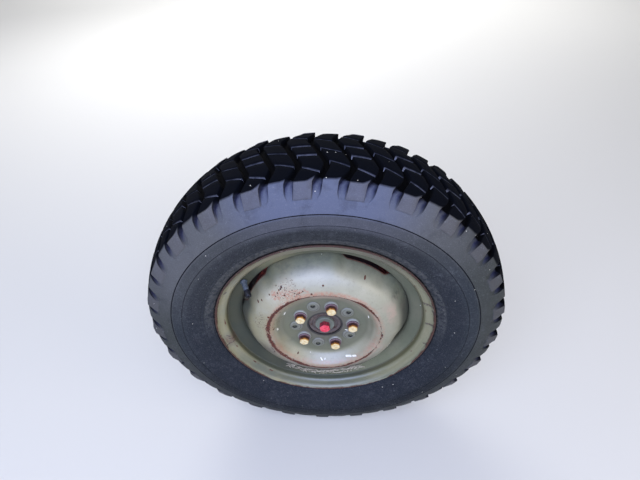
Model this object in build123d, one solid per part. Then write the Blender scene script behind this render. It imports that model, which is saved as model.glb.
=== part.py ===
from build123d import *
import math
import os

# Rear wheel of a light off-road vehicle on its hub, drum brake, hub carrier and half shaft.
# The origin is the centre of the hub carrier's bolted face, on the wheel's axis.
# +X is forward, -Y outboard, +Z up, in millimetres.
# Outlines are (radius, station) points: a station is a distance inboard of the rim's outboard lip.

# Stations along the axle
CARRIER_FACE = 140.0
RIM_WIDTH = 165.0
WHEEL_MID = RIM_WIDTH / 2
NAVE_FACE = 11.0
SHEET_DISC = 5.0
DRUM_FACE = NAVE_FACE + SHEET_DISC
HUB_FACE = DRUM_FACE + 6.0
BACK_PLATE = 90.5
SHAFT_FACE = 460.0

# Tyre
TYRE_R = 360.0
SHOULDER_R = 350.0
SHOULDER_Y = 11.5
CROWN_Y = 46.0
CROWN_SLOPE = (TYRE_R - SHOULDER_R) / (CROWN_Y - SHOULDER_Y)
BULGE_R = 280.0
BULGE_Y = -18.5
LUG_COUNT = 50
LUG_PITCH = 360 / LUG_COUNT
LUG_PHASE = 96.0
PAD_R = 318.5
PAD_RISE = 4.5
GROOVE_WIDTH = 11.0
GROOVE_DEPTH = 10.5
GROOVE_POINT = (322.0, -9.0)
ZIGZAG = 15.0

# Rim of 16 inches by 5.5 inches, its seat falling 5 degrees towards the well
LIP_R = 220.1
SEAT_R = 202.8
FLANGE_IN = 12.65
WELL_R = 175.0
SHEET_RIM = 3.0
SEAT_TAPER = math.tan(math.radians(5))
TOE_DEPTH = 10.0
WELL_START = 36.0
WELL_END = 96.0

# Pressed disc
HUB_HOLE_R = 33.0
NAVE_R = 86.0
CREST_R = 112.2
CREST_Y = -12.5
DOME_R = 165.0
DOME_Y = 30.0
WELD_R = WELL_R - SHEET_RIM
WELD_Y = 62.0
VENT_COUNT = 4
VENT_PHASE = 61.0
VENT_ANGLE = 40.0
VENT_R = 163.0

# Bolts and valve, with angles from +X towards +Z
BOLT_COUNT = 5
BOLT_CIRCLE_R = 56.0
BOLT_PHASE = 5.5
BOLT_SHANK_R = 6.0
BOLT_CLEAR_R = 7.0
BOLT_END = -6.0
BOSS_HEIGHT = 3.5
PIP_CIRCLE_R = 58.0
PIP_PHASE = 41.0
PIP_HEIGHT = 2.7
VALVE_ANGLE = 146.5
VALVE_HOLE_R = 5.7

# Hub, brake and carrier
SPIGOT_R = 32.5
SPIGOT_FACE = NAVE_FACE + 2.0
WASHER_R = 19.0
HUB_FLANGE_R = 70.0
BARREL_R = 30.0
BARREL_END = 96.0
BEARING_R = 40.0
RUNNING_GAP = 0.05
DRUM_R = 148.0
DRUM_END = 85.0
DRUM_WALL = 7.0
DRUM_CORNER = 10.0
PLATE_R = 162.0
PLATE_SHEET = 3.0
NOSE_R = 52.0
NOSE_FACE = 58.0
SHOULDER_SEAT_R = 68.0
CARRIER_BORE_R = 48.0
FLANGE_SIDE = 124.0
FLANGE_THICK = 16.0
FLANGE_PCD = 130.0
FLANGE_HOLE_R = 6.5

# Half shaft
SHAFT_R = 14.0
BELL_R = 42.0
BELL_FACE = 101.0
BELL_END = 156.0
INNER_RING_R = 50.0
INNER_RING_THICK = 36.0
INNER_PCD = 86.0
INNER_HOLES = 6
INNER_HOLE_R = 4.2

BASE = (Align.CENTER, Align.CENTER, Align.MIN)


def ring(points):
    """Solid turned about the axle from a closed outline of (radius, station) points."""
    return revolve(make_face(Polyline(*points, close=True)), Axis.Y, 360)


def parallel(points, distance):
    """Points of the line that runs at a distance to the left of a line of points, with mitred corners."""
    vectors = [Vector(*point) for point in points]
    ways = [(b - a).normalized() for a, b in zip(vectors, vectors[1:])]
    lefts = [Vector(-way.Y, way.X) for way in ways]
    pairs = zip([lefts[0]] + lefts, lefts + [lefts[-1]])
    mitres = [(a + b) / (1 + a.dot(b)) for a, b in pairs]
    moved = [v + mitre * distance for v, mitre in zip(vectors, mitres)]
    return [(v.X, v.Y) for v in moved]


def turned_sheet(points, thickness):
    """Sheet turned about the axle: a stated line, and its parallel to the left of it."""
    return ring(points + parallel(points, thickness)[::-1])


def at_angle(solid, degrees):
    """Turns a solid about the axle, from +X towards +Z."""
    return Rot(0, -degrees, 0) * solid


def around(solid, count, phase):
    """Copies of a solid made on +X, evenly round the axle."""
    return [at_angle(solid, phase + 360 / count * k) for k in range(count)]


def rod(radius, start, end, out=0.0, up=0.0):
    """Cylinder along the axle between two stations, at an offset from the axis."""
    bar = Cylinder(radius, end - start, align=BASE)
    return Pos(out, start, up) * (Rot(-90, 0, 0) * bar)


def hexagon(across_flats, start, end, out=0.0):
    """Hexagonal prism along the axle between two stations."""
    prism = extrude(RegularPolygon(across_flats / 2, 6, major_radius=False), end - start)
    return Pos(out, start, 0) * (Rot(-90, 0, 0) * prism)


def tyre():
    """Lugged tyre: pairs of like slices joined round the axle, seated on the rim's bead seats."""
    pair = [at_angle(tyre_slice(True), 0), at_angle(tyre_slice(False), -LUG_PITCH)]
    slices = [at_angle(piece, LUG_PHASE + 2 * LUG_PITCH * k) for k in range(LUG_COUNT // 2) for piece in pair]
    return slices[0].fuse(*slices[1:])


def tyre_slice(padded):
    """Slice of the tyre on +X as wide as one lug pitch, cut by the grooves at its two sides."""
    outer = [seat_point(TOE_DEPTH), seat_point(0), (213.0, FLANGE_IN), (238.0, -4.0)]
    outer += [(BULGE_R, BULGE_Y), (318.0, -9.0), (SHOULDER_R, SHOULDER_Y)]
    back = [(r, RIM_WIDTH - y) for r, y in reversed(outer)]
    crown = [(TYRE_R, CROWN_Y), (TYRE_R, RIM_WIDTH - CROWN_Y)]
    inner = [(334.0, 18.0), (286.0, -8.0)]
    inside = [(r, RIM_WIDTH - y) for r, y in reversed(inner)]
    section = make_face(Polyline(*(outer + crown + back + inside + inner), close=True))
    spread = math.tan(math.radians(LUG_PITCH / 2))
    wedge = Polyline((0, 0), (400, -400 * spread), (400, 400 * spread), close=True)
    body = extrude(section, 30, both=True) & (Rot(90, 0, 0) * extrude(make_face(wedge), 400, both=True))
    if padded:
        body += pad() + in_wheel_middle(pad())
    for side in (-LUG_PITCH / 2, LUG_PITCH / 2):
        body -= at_angle(groove(), side)
    return body


def in_wheel_middle(solid):
    """The same solid mirrored in the wheel's middle plane."""
    return Pos(0, RIM_WIDTH, 0) * mirror(solid, Plane.XZ)


def groove_walls():
    """Space between two lugs over its whole height: it leans one way to a kink, then the other way."""
    half = GROOVE_WIDTH / 2
    line = [(-30.0, 0.0), (SHOULDER_Y, 0.0), (CROWN_Y, -ZIGZAG)]
    line += [(RIM_WIDTH - y, -z) for y, z in reversed(line)]
    plan = [(y, z + half) for y, z in line] + [(y, z - half) for y, z in reversed(line)]
    face = make_face(Plane.YZ * Polyline(*plan, close=True))
    return extrude(Pos(300, 0, 0) * face, 80, dir=(1, 0, 0))


def groove():
    """Cross groove: the space between lugs above a floor that falls from a point down the shoulder."""
    floor = [GROOVE_POINT, (341.0, 13.0), (TYRE_R - GROOVE_DEPTH, CROWN_Y)]
    floor += [(r, RIM_WIDTH - y) for r, y in reversed(floor)]
    over = [(GROOVE_POINT[0], RIM_WIDTH + 30), (TYRE_R + 10, RIM_WIDTH + 30), (TYRE_R + 10, -30.0)]
    side = make_face(Polyline((GROOVE_POINT[0], -30.0), *floor, *over, close=True))
    return groove_walls() & extrude(side, 30, both=True)


def pad():
    """Raised face of every other lug, between its two grooves, from the tread's edge down."""
    edge = (SHOULDER_R - PAD_RISE * CROWN_SLOPE, SHOULDER_Y - PAD_RISE)
    face = [(PAD_R, -6.0), (PAD_R + 1.5, -11.5), edge, (SHOULDER_R, SHOULDER_Y), (SHOULDER_R - 5, SHOULDER_Y)]
    block = extrude(make_face(Polyline(*face, close=True)), 30, both=True)
    for side in (-LUG_PITCH / 2, LUG_PITCH / 2):
        block -= at_angle(groove_walls(), side)
    return min(block.solids(), key=lambda solid: abs(solid.center().Z))


def seat_point(depth):
    """Point of the outboard bead seat at a depth from its heel, where rim and tyre meet."""
    return (SEAT_R - depth * SEAT_TAPER, FLANGE_IN + depth)


def wheel_rim():
    """Drop-centre rim: curled lips, tapered seats and a well with a steep outboard wall."""
    lip = [(LIP_R, 0.0), (LIP_R, 3.0), (211.5, FLANGE_IN)]
    outboard = lip + [seat_point(0), seat_point(TOE_DEPTH), (WELL_R, WELL_START)]
    inboard = lip + [seat_point(0), seat_point(24), (WELL_R, RIM_WIDTH - WELL_END)]
    inboard = [(r, RIM_WIDTH - y) for r, y in reversed(inboard)]
    shell = turned_sheet(outboard + inboard, SHEET_RIM)
    return shell - valve_frame() * Cylinder(VALVE_HOLE_R, 24)


def valve_frame():
    """Place of the valve: its hole in the steep wall of the well, +Z the way the stem points."""
    angle = math.radians(VALVE_ANGLE)
    top, bottom = Vector(*seat_point(TOE_DEPTH)), Vector(WELL_R, WELL_START)
    middle = (top + bottom) / 2
    wall = (bottom - top).normalized()
    origin = (middle.X * math.cos(angle), middle.Y, middle.X * math.sin(angle))
    direction = (-wall.Y * math.cos(angle), wall.X, -wall.Y * math.sin(angle))
    return Plane(origin=origin, z_dir=direction)


def stem_part(points):
    """Solid turned about the valve's axis from (radius, height) points."""
    face = make_face(Polyline(*points, close=True))
    upright = Rot(90, 0, 0) * revolve(face, Axis.Y, 360)
    return valve_frame().location * upright


def valve_stem():
    """Rubber valve: a bulb behind the rim, a neck in its hole and a tapered stem."""
    bulb = [(0, -6), (7.5, -6), (7.5, -0.4), (VALVE_HOLE_R, -0.4)]
    return stem_part(bulb + [(VALVE_HOLE_R, SHEET_RIM), (4.2, 26), (0, 26)])


def valve_cap():
    """Screwed cap on the valve's end."""
    return stem_part([(0, 26), (4.8, 26), (4.8, 38), (0, 38)])


def wheel_disc():
    """Pressed disc: flat nave with bosses and pips, raised crest ring, dome, and a flange with four vents."""
    nave = [(HUB_HOLE_R, NAVE_FACE), (NAVE_R, NAVE_FACE), (95.0, 5.0)]
    crest = [(105.0, -10.0), (CREST_R, CREST_Y), (122.0, -10.2)]
    dome = [(145.0, 3.0), (DOME_R, DOME_Y), (WELD_R, 48.0), (WELD_R, WELD_Y)]
    sheet = turned_sheet(nave + crest + dome, SHEET_DISC)
    cone = Rot(90, 0, 0) * Cone(14, 12.3, BOSS_HEIGHT, align=BASE)
    boss = Pos(BOLT_CIRCLE_R, NAVE_FACE, 0) * cone
    bolt_hole = rod(BOLT_CLEAR_R, 0, 30, BOLT_CIRCLE_R)
    pip = rod(13.5, NAVE_FACE - PIP_HEIGHT, NAVE_FACE, PIP_CIRCLE_R)
    sheet += around(boss, BOLT_COUNT, BOLT_PHASE) + around(pip, BOLT_COUNT, PIP_PHASE)
    sheet -= around(bolt_hole, BOLT_COUNT, BOLT_PHASE)
    sheet -= around(vent(), VENT_COUNT, VENT_PHASE)
    return sheet


def vent():
    """Opening between disc and rim: a sector cut in to the vent radius, with slanted ends."""
    half = math.radians(VENT_ANGLE / 2)
    inner = [(VENT_R * math.cos(a), VENT_R * math.sin(a)) for a in (-half * 0.8, 0.0, half * 0.8)]
    outer = [(190 * math.cos(a), 190 * math.sin(a)) for a in (half, -half)]
    edge = [ThreePointArc(*inner), Line(inner[2], outer[0]), Line(*outer), Line(outer[1], inner[0])]
    sector = make_face(edge)
    return Pos(0, 5, 0) * (Rot(90, 0, 0) * extrude(sector, -80))


def wheel_bolt():
    """Wheel bolt on +X: hexagon head on a round collar, with its shank through disc, drum and hub."""
    seat = NAVE_FACE - BOSS_HEIGHT
    collar = rod(12, seat - 4, seat, BOLT_CIRCLE_R)
    head = hexagon(17, BOLT_END, seat - 4, BOLT_CIRCLE_R)
    shank = rod(BOLT_SHANK_R, seat, HUB_FACE + 14, BOLT_CIRCLE_R)
    return head + collar + shank


def hub():
    """Driven hub: spigot with a sunk face, bolted flange and the barrel that runs in the bearing."""
    outline = [(SHAFT_R, DRUM_FACE), (SPIGOT_R - 7, DRUM_FACE), (SPIGOT_R - 6, SPIGOT_FACE)]
    outline += [(SPIGOT_R, SPIGOT_FACE), (SPIGOT_R, HUB_FACE), (HUB_FLANGE_R, HUB_FACE)]
    outline += [(HUB_FLANGE_R, HUB_FACE + 10), (BARREL_R, HUB_FACE + 10)]
    outline += [(BARREL_R, BARREL_END), (SHAFT_R, BARREL_END)]
    holes = around(rod(BOLT_SHANK_R, HUB_FACE - 1, HUB_FACE + 16, BOLT_CIRCLE_R), BOLT_COUNT, BOLT_PHASE)
    return ring(outline) - holes


def hub_washer():
    """Thick washer on the hub's sunk face."""
    face = NAVE_FACE - 1
    return ring([(BOLT_SHANK_R, face), (WASHER_R, face), (WASHER_R, DRUM_FACE), (BOLT_SHANK_R, DRUM_FACE)])


def hub_bolt():
    """Hexagon bolt in the end of the stub shaft, holding the washer."""
    seat = NAVE_FACE - 1
    return hexagon(19, -1.5, seat) + rod(BOLT_SHANK_R, seat, 50)


def brake_drum():
    """Cast drum: flat web against the disc, sloped corner, deep cylinder and a bead at its open edge."""
    bore = DRUM_R - DRUM_WALL
    outside = [(HUB_HOLE_R, DRUM_FACE), (DRUM_R - DRUM_CORNER, DRUM_FACE), (DRUM_R, DRUM_FACE + DRUM_CORNER)]
    bead = [(DRUM_R, DRUM_END - 9), (DRUM_R + 4, DRUM_END - 9), (DRUM_R + 4, DRUM_END), (bore, DRUM_END)]
    inside = [(bore, HUB_FACE + DRUM_CORNER), (bore - DRUM_CORNER, HUB_FACE), (HUB_HOLE_R, HUB_FACE)]
    holes = around(rod(BOLT_CLEAR_R, DRUM_FACE - 1, HUB_FACE + 1, BOLT_CIRCLE_R), BOLT_COUNT, BOLT_PHASE)
    return ring(outside + bead + inside) - holes


def outer_joint():
    """Outer constant-velocity joint: stub shaft through the hub and the bell inboard of it."""
    outline = [(0, DRUM_FACE + 4), (SHAFT_R, DRUM_FACE + 4), (SHAFT_R, BELL_FACE), (30, BELL_FACE)]
    outline += [(BELL_R, BELL_FACE + 14), (BELL_R, BELL_END), (0, BELL_END)]
    return ring(outline) - rod(BOLT_SHANK_R, 10, 50)


def half_shaft():
    """Plain bar between the two joints."""
    return rod(SHAFT_R, BELL_END, SHAFT_FACE - INNER_RING_THICK)


def inner_joint():
    """Inner joint: a ring with six bolt holes for the final drive's flange."""
    start = SHAFT_FACE - INNER_RING_THICK
    outline = [(0, start), (BELL_R - 6, start), (BELL_R - 6, start + 8), (INNER_RING_R, start + 8)]
    outline += [(INNER_RING_R, SHAFT_FACE), (0, SHAFT_FACE)]
    holes = around(rod(INNER_HOLE_R, start - 1, SHAFT_FACE + 1, INNER_PCD / 2), INNER_HOLES, 0)
    return ring(outline) - holes


def boot(rim_r, start, way):
    """Rubber boot from a joint's rim to the shaft, as its closed outer shape; way is +1 inboard."""
    profile = [(SHAFT_R, 7), (rim_r, 7), (rim_r, 0), (45, 0), (45, 10), (17, 60), (SHAFT_R, 60)]
    return ring([(r, start + way * y) for r, y in profile])


def shaft_boots():
    """The two rubber boots of the half shaft."""
    outer = boot(BELL_R, BELL_END - 7, 1)
    inner = boot(BELL_R - 6, SHAFT_FACE - INNER_RING_THICK + 7, -1)
    return [outer, inner]


def wheel_bearing():
    """Double-row bearing pressed in the carrier; the hub's barrel runs in it."""
    bore = BARREL_R + RUNNING_GAP
    return ring([(bore, NOSE_FACE + 4), (BEARING_R, NOSE_FACE + 4), (BEARING_R, 94), (bore, 94)])


def hub_carrier():
    """Hub carrier: bearing nose, shoulder for the back plate, ribs and a square bolted flange."""
    shoulder = BACK_PLATE + PLATE_SHEET
    outline = [(36, NOSE_FACE), (NOSE_R, NOSE_FACE), (NOSE_R, shoulder), (SHOULDER_SEAT_R, shoulder)]
    outline += [(SHOULDER_SEAT_R, shoulder + 9), (NOSE_R + 4, shoulder + 9), (NOSE_R + 4, CARRIER_FACE)]
    outline += [(CARRIER_BORE_R, CARRIER_FACE), (CARRIER_BORE_R, 94), (BEARING_R, 94)]
    outline += [(BEARING_R, NOSE_FACE + 4), (36, NOSE_FACE + 4)]
    body = ring(outline)
    square = RectangleRounded(FLANGE_SIDE, FLANGE_SIDE, 18) - Circle(CARRIER_BORE_R)
    plate = Pos(0, CARRIER_FACE, 0) * (Rot(90, 0, 0) * extrude(square, FLANGE_THICK))
    holes = around(rod(FLANGE_HOLE_R, 110, CARRIER_FACE + 1, FLANGE_PCD / 2), 4, 45)
    root, foot, top = NOSE_R + 3, CARRIER_FACE - 8, shoulder + 5
    side = make_face(Polyline((root, top), (66, top), (61, foot), (root, foot), close=True))
    ribs = around(extrude(side, 4, both=True), 4, 0)
    return body + plate + ribs - holes


def back_plate():
    """Pressed brake back plate with a turned lip that shrouds the drum's open edge."""
    outline = [(NOSE_R, BACK_PLATE), (PLATE_R - PLATE_SHEET, BACK_PLATE), (PLATE_R - PLATE_SHEET, 79)]
    outline += [(PLATE_R, 79), (PLATE_R, BACK_PLATE + PLATE_SHEET), (NOSE_R, BACK_PLATE + PLATE_SHEET)]
    return ring(outline)


def back_plate_bolts():
    """Four hexagon bolts that hold the back plate, their heads against the plate's outboard face."""
    return around(hexagon(13, BACK_PLATE - 7, BACK_PLATE, 60), 4, 0)


def wheel_cylinder():
    """Back of the wheel cylinder on the inboard side of the back plate, with its bleed screw."""
    seat = BACK_PLATE + PLATE_SHEET
    block = Pos(0, seat, 108) * Box(52, 12, 26, align=(Align.CENTER, Align.MIN, Align.CENTER))
    block = chamfer(block.edges().filter_by(Axis.Y), 8)
    bleeder = rod(4, seat + 12, seat + 24, 14, 108)
    return block + bleeder


os.makedirs("parts", exist_ok=True)


def save(node, solids):
    """Moves a piece from wheel stations to the part's frame and writes it under its node's name."""
    pieces = solids if isinstance(solids, list) else [solids]
    placed = [Pos(0, -CARRIER_FACE, 0) * piece for piece in pieces]
    export_step(Compound(children=placed) if len(placed) > 1 else placed[0], f"parts/{node}.step")


save("tyre", tyre())
save("wheel_rim", wheel_rim())
save("wheel_disc", wheel_disc())
save("valve_stem", valve_stem())
save("valve_cap", valve_cap())
save("wheel_bolts", around(wheel_bolt(), BOLT_COUNT, BOLT_PHASE))
save("hub", hub())
save("hub_washer", hub_washer())
save("hub_bolt", hub_bolt())
save("brake_drum", brake_drum())
save("outer_joint", outer_joint())
save("half_shaft", half_shaft())
save("inner_joint", inner_joint())
save("shaft_boots", shaft_boots())
save("wheel_bearing", wheel_bearing())
save("hub_carrier", hub_carrier())
save("back_plate", back_plate())
save("back_plate_bolts", back_plate_bolts())
save("wheel_cylinder", wheel_cylinder())
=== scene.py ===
# %% [markdown]
# # A lugged wheel on its hub, drum brake, hub carrier and half shaft
# This lesson dresses the rear wheel of a light off-road vehicle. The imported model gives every
# piece its real place; here each visible piece gets its smooth form and its worn finish.
# Lengths are in millimetres, as on a drawing, and become metres where meshes are made. A point
# is given by its radius from the axle, its angle round it and its station, which is a distance
# inboard of the rim's outboard lip.

# %% Load the fixed frame
import bmesh
import bpy
import math
import numpy as np
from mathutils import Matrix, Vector


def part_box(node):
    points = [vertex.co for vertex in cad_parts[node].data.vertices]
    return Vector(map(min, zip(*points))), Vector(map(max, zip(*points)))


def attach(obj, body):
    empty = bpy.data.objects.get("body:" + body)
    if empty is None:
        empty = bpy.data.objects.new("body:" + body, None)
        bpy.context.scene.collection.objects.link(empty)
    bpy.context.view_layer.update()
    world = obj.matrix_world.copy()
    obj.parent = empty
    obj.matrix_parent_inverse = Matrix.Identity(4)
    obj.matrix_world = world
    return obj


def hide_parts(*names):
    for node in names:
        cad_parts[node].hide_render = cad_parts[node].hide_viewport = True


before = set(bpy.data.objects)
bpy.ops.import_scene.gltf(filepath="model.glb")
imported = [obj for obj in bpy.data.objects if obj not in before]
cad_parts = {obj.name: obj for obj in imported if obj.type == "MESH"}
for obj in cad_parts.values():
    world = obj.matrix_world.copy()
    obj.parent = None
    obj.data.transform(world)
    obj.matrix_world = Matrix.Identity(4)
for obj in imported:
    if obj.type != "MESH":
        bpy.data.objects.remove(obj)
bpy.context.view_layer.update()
MM = 0.001

# %% [markdown]
# ## Sizes from the frame
# The rim is the ruler of a wheel: its two lips give station 0 and the wheel's width, and the
# tyre stands in its middle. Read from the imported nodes, they keep the dressed pieces in place.

# %% Sizes from the frame
rim_low, rim_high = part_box("wheel_rim")
LIP_Y = rim_low.y
RIM_WIDTH = (rim_high.y - rim_low.y) / MM
WHEEL_MID = RIM_WIDTH / 2
LIP_R = rim_high.x / MM
TYRE_R = 360
FLOOR_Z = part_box("tyre")[0].z
print(f"rim {RIM_WIDTH:.0f} mm wide, lip radius {LIP_R:.1f}, floor at {FLOOR_Z:.4f} m")

# %% [markdown]
# ## Finishes as arithmetic
# Every finish is a small calculation on the place of a point: how far it lies from the axle, at
# which angle, and what a noise says there. A Value lets it be written as plain arithmetic, and
# each step adds one node. Layers of colour are then laid over each other, each by a share.
# Painted pictures would do too, but they need unwrapped meshes and one fixed resolution.


# %% Shader helpers
def colour(code):
    """Linear colour of a six-digit code: each channel c becomes ((c + 0.055) / 1.055) ** 2.4."""
    channels = [int(code[k:k + 2], 16) / 255 for k in (0, 2, 4)]
    linear = [c / 12.92 if c < 0.04 else ((c + 0.055) / 1.055) ** 2.4 for c in channels]
    return (*linear, 1)


class Value:
    """A number or colour that runs between nodes; arithmetic on it adds nodes to its graph."""

    def __init__(self, graph, socket):
        self.graph, self.socket = graph, socket

    def __rsub__(self, other):
        return self.graph.math("SUBTRACT", other, self)

    def __neg__(self):
        return self * -1

    def __abs__(self):
        return self.graph.math("ABSOLUTE", self)

    def over(self, low, high):
        """0 below low, 1 above high, and smooth between."""
        feeds = {"Value": self, "From Min": low, "From Max": high}
        return self.graph.node("MapRange", feeds, "Result", interpolation_type="SMOOTHSTEP")

    def under(self, low, high):
        """1 below low, 0 above high, and smooth between."""
        return 1 - self.over(low, high)

    def band(self, middle, half, soft):
        """1 within half of the middle, falling to 0 over soft more."""
        return abs(self - middle).under(half, half + soft)

    def blend(self, first, second):
        """Number between two others, by this share."""
        return self.graph.node("Mix", {"Factor": self, 2: first, 3: second}, 0, data_type="FLOAT")

    def mix(self, under, over):
        """One colour laid over another by this share; a colour is a code or a Value."""
        return self.graph.node("Mix", {"Factor": self, 6: under, 7: over}, 2, data_type="RGBA")


for sign, word in (("add", "ADD"), ("sub", "SUBTRACT"), ("mul", "MULTIPLY"), ("truediv", "DIVIDE")):
    setattr(Value, f"__{sign}__", lambda a, b, word=word: a.graph.math(word, a, b))


def most(*values):
    """Largest of several values."""
    found = values[0]
    for value in values[1:]:
        found = found.graph.math("MAXIMUM", found, value)
    return found


class Graph:
    """The nodes of one tree, and short words to make them."""

    def __init__(self, tree):
        self.tree = tree

    def put(self, value, socket):
        """Feeds a socket from a Value, or with a number, a vector or a colour's code."""
        if isinstance(value, Value):
            self.tree.links.new(value.socket, socket)
        else:
            socket.default_value = colour(value) if isinstance(value, str) else value

    def node(self, kind, feeds, *outputs, **settings):
        """New node with its inputs fed by name or number; gives the outputs that are asked for."""
        made = self.tree.nodes.new("ShaderNode" + kind)
        for key, value in settings.items():
            setattr(made, key, value)
        for key, value in feeds.items():
            self.put(value, made.inputs[key])
        found = [Value(self, made.outputs[key]) for key in outputs]
        return found if len(found) > 1 else found[0]

    def math(self, operation, a, b=0, clamp=False):
        return self.node("Math", {0: a, 1: b}, 0, operation=operation, use_clamp=clamp)

    def hypot(self, a, b):
        """Length of a vector in two parts: the root of a squared plus b squared."""
        return self.math("SQRT", a * a + b * b)


class Finish(Graph):
    """A material with a Principled shader. It knows each point's place in wheel millimetres."""

    def __init__(self, name, base, roughness, metallic=0):
        self.material = bpy.data.materials.new(name)
        self.material.use_nodes = True
        super().__init__(self.material.node_tree)
        self.shader = self.tree.nodes["Principled BSDF"]
        for socket, value in (("Base Color", base), ("Roughness", roughness), ("Metallic", metallic)):
            self.set(socket, value)
        self.shade, self.bumped = base, None
        self.place = self.node("TexCoord", {}, "Object")
        self.x, y, self.z = [part / MM for part in self.node("SeparateXYZ", {0: self.place}, 0, 1, 2)]
        self.station = y - LIP_Y / MM
        self.radius = self.hypot(self.x, self.z)
        self.angle = self.math("DEGREES", self.math("ARCTAN2", self.z, self.x))

    def set(self, socket, value):
        self.put(value, self.shader.inputs[socket])

    def lay(self, share, code):
        """Lays a colour over what is there by a share."""
        self.shade = share.mix(self.shade, code)
        self.set("Base Color", self.shade)

    def bump(self, height, depth, strength=1):
        """Relief of this depth in millimetres, on top of any relief made before."""
        feeds = {"Height": height, "Distance": depth * MM, "Strength": strength}
        if self.bumped:
            feeds["Normal"] = self.bumped
        self.bumped = self.node("Bump", feeds, 0)
        self.set("Normal", self.bumped)

    def attribute(self, name):
        return self.node("Attribute", {}, "Fac", attribute_name=name)

    def noise(self, size, detail=3, rough=0.55, stretch=(1, 1, 1), shift=0):
        """Noise whose patches are about this many millimetres across."""
        feeds = {"Vector": self.place, "Location": (shift, shift * 0.7, -shift), "Scale": stretch}
        moved = self.node("Mapping", feeds, 0)
        feeds = {"Vector": moved, "Scale": 1 / (size * MM), "Detail": detail, "Roughness": rough}
        return self.node("TexNoise", feeds, "Fac")

    def specks(self, spacing, size, share, shift):
        """Small round flecks: one for each cell of this many millimetres, where the cell's own
        chance number is under a share. Its size is a part of the cell."""
        moved = self.node("Mapping", {"Vector": self.place, "Location": (shift, shift, shift)}, 0)
        feeds = {"Vector": moved, "Scale": 1 / (spacing * MM)}
        away, cell = self.node("TexVoronoi", feeds, "Distance", "Color", feature="F1")
        chance = self.node("SeparateXYZ", {0: cell}, 0)
        return away.under(size * 0.7, size * 1.3) * self.math("LESS_THAN", chance, share)

    def spot(self, x, z, size):
        """1 at a point of the wheel's face, falling to 0 at a distance of size millimetres."""
        return self.hypot(self.x - x, self.z - z).under(0, size)

    def stroke(self, x0, z0, x1, z1, half):
        """1 on a short line across the wheel's face, falling to 0 at this distance from it. The
        nearest place on the line is at the share t = ((p - a) . (b - a)) / |b - a|^2, kept in 0..1."""
        along, up = x1 - x0, z1 - z0
        x, z, square = self.x - x0, self.z - z0, along * along + up * up
        t = self.math("ADD", x * (along / square), z * (up / square), clamp=True)
        return self.hypot(x - t * along, z - t * up).under(half * 0.6, half * 1.1)


print("helpers ready for numbers, layers, noises, flecks and strokes")

# %% [markdown]
# ## Camera, floor and light
# The picture is taken from standing height, steeply down at the wheel, with a wide lens. A
# large soft lamp in front and above works like an open sky. A blue one beside it shows in gloss
# only: it tints the highlights and leaves the paint's own colour. The pale background is only
# shown to the camera and to reflections, so it adds no light of its own.

# %% Camera
camera = bpy.data.objects.new("camera", bpy.data.cameras.new("camera"))
bpy.context.scene.collection.objects.link(camera)
bpy.context.scene.camera = camera
camera.data.sensor_width = 36
camera.data.lens = 26.93
camera.location = (0.0042, -0.7517, 0.7594)
camera.rotation_euler = (math.radians(49.33), 0, math.radians(1.3))
bpy.context.scene.view_settings.view_transform = "Standard"
print(f"camera with a {camera.data.lens} mm lens, {camera.location.length:.2f} m from the flange")

# %% Floor
bpy.ops.mesh.primitive_grid_add(x_subdivisions=4, y_subdivisions=4, size=14, location=(0, 0, FLOOR_Z))
floor = bpy.context.object
floor.name = "floor"
floor.data.materials.append(Finish("pale_floor", "d9d8d4", 0.9).material)
print("floor of", len(floor.data.polygons), "faces")


# %% Light
def lamp(name, place, target, size, watts, tint="ffffff", spread=180, sheen_only=False):
    """Soft rectangular lamp at a place, turned to a target. A narrow spread keeps its light
    within its own area."""
    light = bpy.data.lights.new(name, "AREA")
    light.shape = "RECTANGLE"
    light.size, light.size_y = size
    light.spread = math.radians(spread)
    light.energy = watts
    light.color = colour(tint)[:3]
    made = bpy.data.objects.new(name, light)
    made.location = place
    made.rotation_euler = (Vector(target) - Vector(place)).to_track_quat("-Z", "Y").to_euler()
    made.visible_diffuse = not sheen_only
    bpy.context.scene.collection.objects.link(made)
    print(f"lamp {name}: {watts} W")


lamp("sky", (-0.4, -2.3, 2.2), (0, -0.1, 0), (3.6, 2.6), 152, "d3deff")
lamp("blue sky", (-0.6, -2.4, 1.9), (0, -0.1, 0), (4.2, 2.6), 100, "6c92ff", sheen_only=True)
lamp("side", (2.4, -1.2, 1.2), (0, 0, 0), (1.6, 1.6), 20, "fff1dc")
lamp("back", (-1, 2.6, 1.6), (0, 0.1, 0), (1.8, 1.8), 50)
lamp("far floor", (0, 4.6, 3.6), (0, 4.4, FLOOR_Z), (5, 3), 85, spread=80)

# %% Background
DIM_AIR = (0.25, 0.25, 0.26, 1)
PALE_AIR = (0.80, 0.80, 0.79, 1)
world = bpy.data.worlds.new("studio")
bpy.context.scene.world = world
world.use_nodes = True
air = Graph(world.node_tree)
seen = most(*air.node("LightPath", {}, "Is Camera Ray", "Is Glossy Ray", "Is Transmission Ray"))
air.put(seen.mix(DIM_AIR, PALE_AIR), world.node_tree.nodes["Background"].inputs["Color"])
print("background of", len(air.tree.nodes), "nodes")

# %% [markdown]
# ## Meshes from grids
# Nearly everything on a wheel is turned: an outline carried round the axle. So each piece is a
# grid of points, with rows along the outline and columns round the axle. A Screw modifier would
# do for plain rings, but a grid also takes lugs, vents and pips, because each point may leave
# the turned shape by a formula.


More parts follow.
